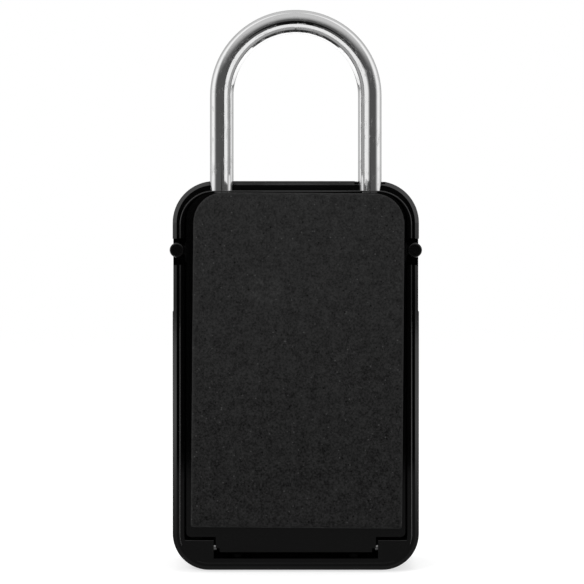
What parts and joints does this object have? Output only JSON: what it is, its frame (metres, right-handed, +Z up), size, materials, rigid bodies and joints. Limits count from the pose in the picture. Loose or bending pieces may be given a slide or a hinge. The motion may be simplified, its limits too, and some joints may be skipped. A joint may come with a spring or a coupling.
{
  "type": "padlock key safe",
  "caption": "Portable key safe with a lift-out shackle, a sprung two-lug release, a padded hinged back with a key tray, and number wheels behind a sliding cover.",
  "frame": {"origin": "centre of the bounding box's base", "axes": "+Z up, the padded back faces -Y, the number wheels face +Y"},
  "size_m": [0.0852, 0.0488, 0.1904],
  "materials": {
    "case_black": "glossy",
    "door_black": "satin",
    "lug_black": "glossy",
    "foam": "matt cut foam",
    "tray_plastic": "fine textured",
    "shackle_chrome": "polished",
    "panel_steel": "satin",
    "slider_black": "thin black coat",
    "lock_steel": "zinc plated",
    "pin_steel": "plain",
    "screw_steel": "blackened",
    "spring_steel": "bright",
    "wheel_plastic": "satin moulded",
    "sleeve_brass": "turned",
    "shutter_plastic": "glossy",
    "bezel_plastic": "satin"
  },
  "bodies": {
    "root": {"housing": "case_black", "rear_frame": "case_black", "frame_screws": "screw_steel", "hinge_pin": "pin_steel", "inner_panel": "panel_steel", "panel_screws": "screw_steel", "shackle_block": "panel_steel", "block_screws": "screw_steel", "slider_guide_screws": "pin_steel", "slider_spring_left": "spring_steel", "slider_spring_right": "spring_steel", "wheel_spindle": "pin_steel", "spindle_clips": "pin_steel", "spindle_washer": "lock_steel", "wheel_cradle": "tray_plastic", "cradle_screws": "screw_steel", "wheel_detent_spring": "spring_steel", "dial_bezel": "bezel_plastic", "lever_pin": "pin_steel"},
    "back_door": {"door_plate": "door_black", "foam_pad": "foam", "key_tray": "tray_plastic", "tray_rivets": "pin_steel", "latch_keepers": "door_black"},
    "release": {"release_slider": "slider_black", "release_lugs": "lug_black", "fence_bar": "lock_steel", "fence_rivets": "pin_steel"},
    "shackle": {"shackle": "shackle_chrome"},
    "shackle_lock": {"shackle_lock_plate": "lock_steel", "lock_tab": "bezel_plastic"},
    "wheel_1": {"number_wheel_1": "wheel_plastic", "cam_sleeve_1": "sleeve_brass"},
    "wheel_2": {"number_wheel_2": "wheel_plastic", "cam_sleeve_2": "sleeve_brass"},
    "wheel_3": {"number_wheel_3": "wheel_plastic", "cam_sleeve_3": "sleeve_brass"},
    "wheel_4": {"number_wheel_4": "wheel_plastic", "cam_sleeve_4": "sleeve_brass"},
    "shutter": {"dial_shutter": "shutter_plastic"},
    "code_lever": {"code_change_lever": "lock_steel"}
  },
  "joints": [
    {"name": "door_hinge", "type": "hinge", "parent": "root", "child": "back_door", "pos_m": [0, -0.02, 0.0082], "axis": [1, 0, 0], "range_deg": [0, 90]},
    {"name": "release_slide", "type": "slide", "parent": "root", "child": "release", "axis": [0, 0, 1], "range_m": [-0.0024, 0.0014], "stiffness_N_per_m": 300, "springref_m": 0.0007, "deforming": ["slider_spring_left", "slider_spring_right"]},
    {"name": "shackle_slide", "type": "slide", "parent": "root", "child": "shackle", "axis": [0, 0, 1], "range_m": [0, 0.03]},
    {"name": "shackle_lock_slide", "type": "slide", "parent": "root", "child": "shackle_lock", "axis": [1, 0, 0], "range_m": [0, 0.0025]},
    {"name": "wheel_1_turn", "type": "hinge", "parent": "root", "child": "wheel_1", "pos_m": [0, 0.0119, 0.1], "axis": [1, 0, 0], "continuous": true},
    {"name": "wheel_2_turn", "type": "hinge", "parent": "root", "child": "wheel_2", "pos_m": [0, 0.0119, 0.1], "axis": [1, 0, 0], "continuous": true},
    {"name": "wheel_3_turn", "type": "hinge", "parent": "root", "child": "wheel_3", "pos_m": [0, 0.0119, 0.1], "axis": [1, 0, 0], "continuous": true},
    {"name": "wheel_4_turn", "type": "hinge", "parent": "root", "child": "wheel_4", "pos_m": [0, 0.0119, 0.1], "axis": [1, 0, 0], "continuous": true},
    {"name": "shutter_slide", "type": "slide", "parent": "root", "child": "shutter", "axis": [0, 0, 1], "range_m": [0, 0.0256]},
    {"name": "code_lever_turn", "type": "hinge", "parent": "root", "child": "code_lever", "pos_m": [-0.007, -0.0034, 0.092], "axis": [0, 1, 0], "range_deg": [0, 90]}
  ]
}
